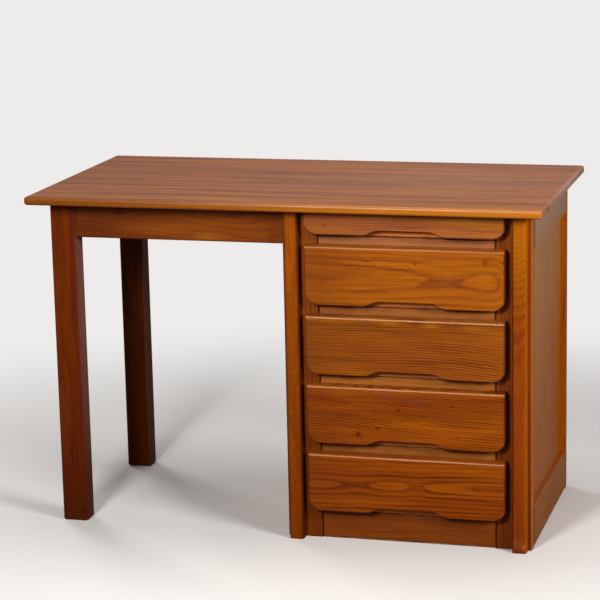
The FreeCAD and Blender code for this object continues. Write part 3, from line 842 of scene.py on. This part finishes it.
HEAD_RADIUS = 0.004
HEAD_HEIGHT = 0.0022
HEAD_SINK = 0.0003
SLOT_WIDTH = 0.001
SLOT_DEPTH = 0.0011
DOME_STEPS = 10
ROUND_STEPS = 40
SAME_POINT = 1e-6
ON_CUT = 1e-7
BELOW_RIM = -1e-5
SHARP_EDGE = math.radians(40.0)
BRIGHT_RIM, BRIGHT_LIP = (0.0007, 0.0001), 0.00025
SPOT_PACE, SPOT_RANGE = (900.0, 900.0, 900.0), (0.42, 0.64)
TURNED_PACE, TURNED_RANGE = (2600.0, 260.0, 900.0), (0.3, 0.6)
STEEL_ROUGH_RANGE, STEEL_ROUGHNESS = (0.1, 0.9), (0.28, 0.55)
STEEL_RELIEF_STRENGTH, STEEL_RELIEF_HEIGHT = 0.3, 0.00005
STEEL_SHADE = srgb(178, 174, 166)
SPOT_STAIN = Overlay(srgb(116, 102, 86), 0.6)
BRIGHT_STAIN = Overlay(srgb(214, 212, 206), 0.8)


def islands(node):
    """The boxes of the separate solids of a CAD node."""
    bm = bmesh.new()
    bm.from_mesh(NODES[node].data)
    bmesh.ops.remove_doubles(bm, verts=bm.verts, dist=SAME_POINT)
    boxes = []
    left = set(bm.verts)
    while left:
        reach = [left.pop()]
        low, high = reach[0].co.copy(), reach[0].co.copy()
        while reach:
            vert = reach.pop()
            low = Vector(map(min, low, vert.co))
            high = Vector(map(max, high, vert.co))
            for edge in vert.link_edges:
                other = edge.other_vert(vert)
                if other in left:
                    left.remove(other)
                    reach.append(other)
        boxes.append((low, high))
    bm.free()
    return sorted(boxes, key=lambda box: tuple(round(part, 4) for part in box[0]))


def cut_slot(bm):
    """Sinks the faces between two cuts through the dome to the floor of the slot."""
    for side in (-0.5, 0.5):
        bmesh.ops.bisect_plane(bm, geom=bm.verts[:] + bm.edges[:] + bm.faces[:], dist=ON_CUT,
                               plane_co=(side * SLOT_WIDTH, 0.0, 0.0), plane_no=(1.0, 0.0, 0.0))
    floor = SLOT_DEPTH - HEAD_HEIGHT
    cut = []
    for face in bm.faces:
        middle = face.calc_center_median()
        if abs(middle.x) < SLOT_WIDTH / 2 and middle.z < BELOW_RIM:
            cut.append(face)
    moved = bmesh.ops.extrude_face_region(bm, geom=cut)["geom"]
    for vert in (part for part in moved if isinstance(part, bmesh.types.BMVert)):
        vert.co.z = max(vert.co.z, floor)
    bmesh.ops.delete(bm, geom=cut, context="FACES")


def head_mesh():
    """A domed screw head that hangs from its base, with a slot cut across it."""
    bm = bmesh.new()
    outline = [(0.0, HEAD_SINK), (HEAD_RADIUS, HEAD_SINK)]
    for step in range(DOME_STEPS + 1):
        angle = math.pi / 2 * step / DOME_STEPS
        outline.append((HEAD_RADIUS * math.cos(angle), -HEAD_HEIGHT * math.sin(angle)))
    verts = [bm.verts.new((radius, 0.0, height)) for radius, height in outline]
    edges = [bm.edges.new(pair) for pair in zip(verts, verts[1:])]
    bmesh.ops.spin(bm, geom=verts + edges, cent=(0.0, 0.0, 0.0), axis=(0.0, 0.0, 1.0), angle=math.tau,
                   steps=ROUND_STEPS, use_duplicate=False)
    bmesh.ops.remove_doubles(bm, verts=bm.verts, dist=SAME_POINT)
    cut_slot(bm)
    bmesh.ops.remove_doubles(bm, verts=bm.verts, dist=SAME_POINT)
    bmesh.ops.recalc_face_normals(bm, faces=bm.faces)
    mesh = bpy.data.meshes.new("screw_head")
    bm.to_mesh(mesh)
    bm.free()
    for face in mesh.polygons:
        face.use_smooth = True
    mesh.set_sharp_from_angle(angle=SHARP_EDGE)
    return mesh


def steel():
    """Plain steel, spotted and dull, rubbed bright on the rim and along the slot."""
    material, g, shader = new_material("worn_steel")
    shader.inputs["Metallic"].default_value = 1.0
    place = g.coordinates()
    radius = g.vector("LENGTH", g.scaled(place, (1.0, 1.0, 0.0)))
    rim = g.remap(radius, *(HEAD_RADIUS - inset for inset in BRIGHT_RIM))
    lip = g.bell(g.minus(g.math("ABSOLUTE", g.parts(place)[0]), SLOT_WIDTH / 2), BRIGHT_LIP)
    spots = g.remap(g.noise(g.scaled(place, SPOT_PACE), 3.0), *SPOT_RANGE)
    turned = g.noise(g.scaled(place, TURNED_PACE))
    worn = g.times(g.larger(rim, lip), g.remap(turned, *TURNED_RANGE))
    colour = g.overlaid(STEEL_SHADE, spots, SPOT_STAIN)
    colour = g.overlaid(colour, worn, BRIGHT_STAIN)
    g.put(colour, shader.inputs["Base Color"])
    rough = g.weighed((spots, 0.5), (turned, 0.5))
    g.put(g.remap(rough, *STEEL_ROUGH_RANGE, *STEEL_ROUGHNESS), shader.inputs["Roughness"])
    g.bump(g.plus(turned, spots), STEEL_RELIEF_STRENGTH, STEEL_RELIEF_HEIGHT, shader)
    return material


def add_screws():
    """One screw up through each button, its head on the button's underside and its slot at any angle."""
    mesh = head_mesh()
    mesh.materials.append(steel())
    chance = random.Random("screws")
    for count, (low, high) in enumerate(islands("top_buttons"), 1):
        screw = bpy.data.objects.new("button_screw_%d" % count, mesh)
        bpy.context.scene.collection.objects.link(screw)
        screw.location = ((low.x + high.x) / 2, (low.y + high.y) / 2, low.z)
        screw.rotation_euler = (0.0, 0.0, chance.uniform(0.0, math.pi))
        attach(screw, "frame")


# Studio

PAPER = srgb(238, 236, 235)
FLOOR_HALF = 40.0
FLOOR_SEEN, FLOOR_UNSEEN = srgb(242, 240, 238), srgb(120, 116, 110)
FLOOR_FADE = (0.8, 1.9)
FLOOR_ROUGHNESS, FLOOR_SHINE = 0.9, 0.1
FLOOR_MIRRORED, WORLD_MIRRORED = 0.06, 0.28
WORLD_LIGHT = (0.06, 0.06, 0.061, 1.0)

Softbox = namedtuple("Softbox", "name place aim size power colour mirrored")
SOFTBOXES = (
    Softbox("front_light", (-0.36, -2.9, 1.75), (0.1, 0.0, 0.5), (0.5, 0.7), 60.0, (1.0, 0.98, 0.95), True),
    Softbox("right_light", (2.7, -1.65, 1.6), (0.2, 0.0, 0.4), (0.9, 0.9), 74.0, (1.0, 0.98, 0.96), False),
    Softbox("top_light", (0.0, 0.2, 2.9), (0.0, 0.0, 0.7), (2.0, 1.2), 24.0, (1.0, 0.99, 0.98), True),
    Softbox("back_light", (-2.6, 2.3, 2.0), (0.0, 0.0, 0.4), (1.2, 1.2), 40.0, (1.0, 0.99, 0.98), False),
)


def seen_share(g, mirrored_share):
    """1 for the camera and through glass, a share of it in mirrors, and 0 for light that falls elsewhere."""
    path = g.node("ShaderNodeLightPath").outputs
    mirrored = g.times(path["Is Glossy Ray"], mirrored_share)
    return g.larger(path["Is Camera Ray"], g.larger(mirrored, path["Is Transmission Ray"]))


def add_floor():
    """A plain pale floor that keeps the desk's shadow and fades into the background."""
    mesh = bpy.data.meshes.new("floor")
    corners = [(x * FLOOR_HALF, y * FLOOR_HALF, 0.0) for x, y in ((-1, -1), (1, -1), (1, 1), (-1, 1))]
    mesh.from_pydata(corners, [], [(0, 1, 2, 3)])
    floor = bpy.data.objects.new("floor", mesh)
    bpy.context.scene.collection.objects.link(floor)
    material, g, shader = new_material("floor_paint")
    shader.inputs["Roughness"].default_value = FLOOR_ROUGHNESS
    shader.inputs["Specular IOR Level"].default_value = FLOOR_SHINE
    seen = seen_share(g, FLOOR_MIRRORED)
    g.put(g.mix(seen, FLOOR_UNSEEN, FLOOR_SEEN), shader.inputs["Base Color"])
    far = g.remap(g.vector("LENGTH", g.coordinates()), *FLOOR_FADE)
    glow = g.node("ShaderNodeEmission")
    g.put(PAPER, glow.inputs["Color"])
    glow.inputs["Strength"].default_value = 1.0
    blend = g.node("ShaderNodeMixShader")
    g.put(g.times(far, seen), blend.inputs[0])
    g.put(shader.outputs[0], blend.inputs[1])
    g.put(glow.outputs[0], blend.inputs[2])
    g.put(blend.outputs[0], material.node_tree.nodes["Material Output"].inputs["Surface"])
    mesh.materials.append(material)


def add_world():
    """Soft even light from all round, with a near white background to look at and to mirror."""
    world = bpy.data.worlds.new("studio")
    bpy.context.scene.world = world
    world.use_nodes = True
    g = Graph(world.node_tree)
    background = world.node_tree.nodes["Background"]
    g.put(g.mix(seen_share(g, WORLD_MIRRORED), WORLD_LIGHT, PAPER), background.inputs["Color"])
    background.inputs["Strength"].default_value = 1.0


def add_softbox(box):
    """A square or oblong lamp aimed at a point. The varnish mirrors it only if it is mirrored."""
    light = bpy.data.lights.new(box.name, "AREA")
    light.shape = "RECTANGLE"
    light.size, light.size_y = box.size
    light.energy = box.power
    light.color = box.colour
    lamp = bpy.data.objects.new(box.name, light)
    lamp.location = box.place
    lamp.rotation_euler = (Vector(box.aim) - Vector(box.place)).to_track_quat("-Z", "Y").to_euler()
    lamp.visible_glossy = box.mirrored
    bpy.context.scene.collection.objects.link(lamp)


def add_studio():
    """The floor, the background and the lamps."""
    bpy.context.scene.view_settings.view_transform = "Standard"
    add_floor()
    add_world()
    for box in SOFTBOXES:
        add_softbox(box)


add_camera()
dress_all()
add_screws()
add_studio()
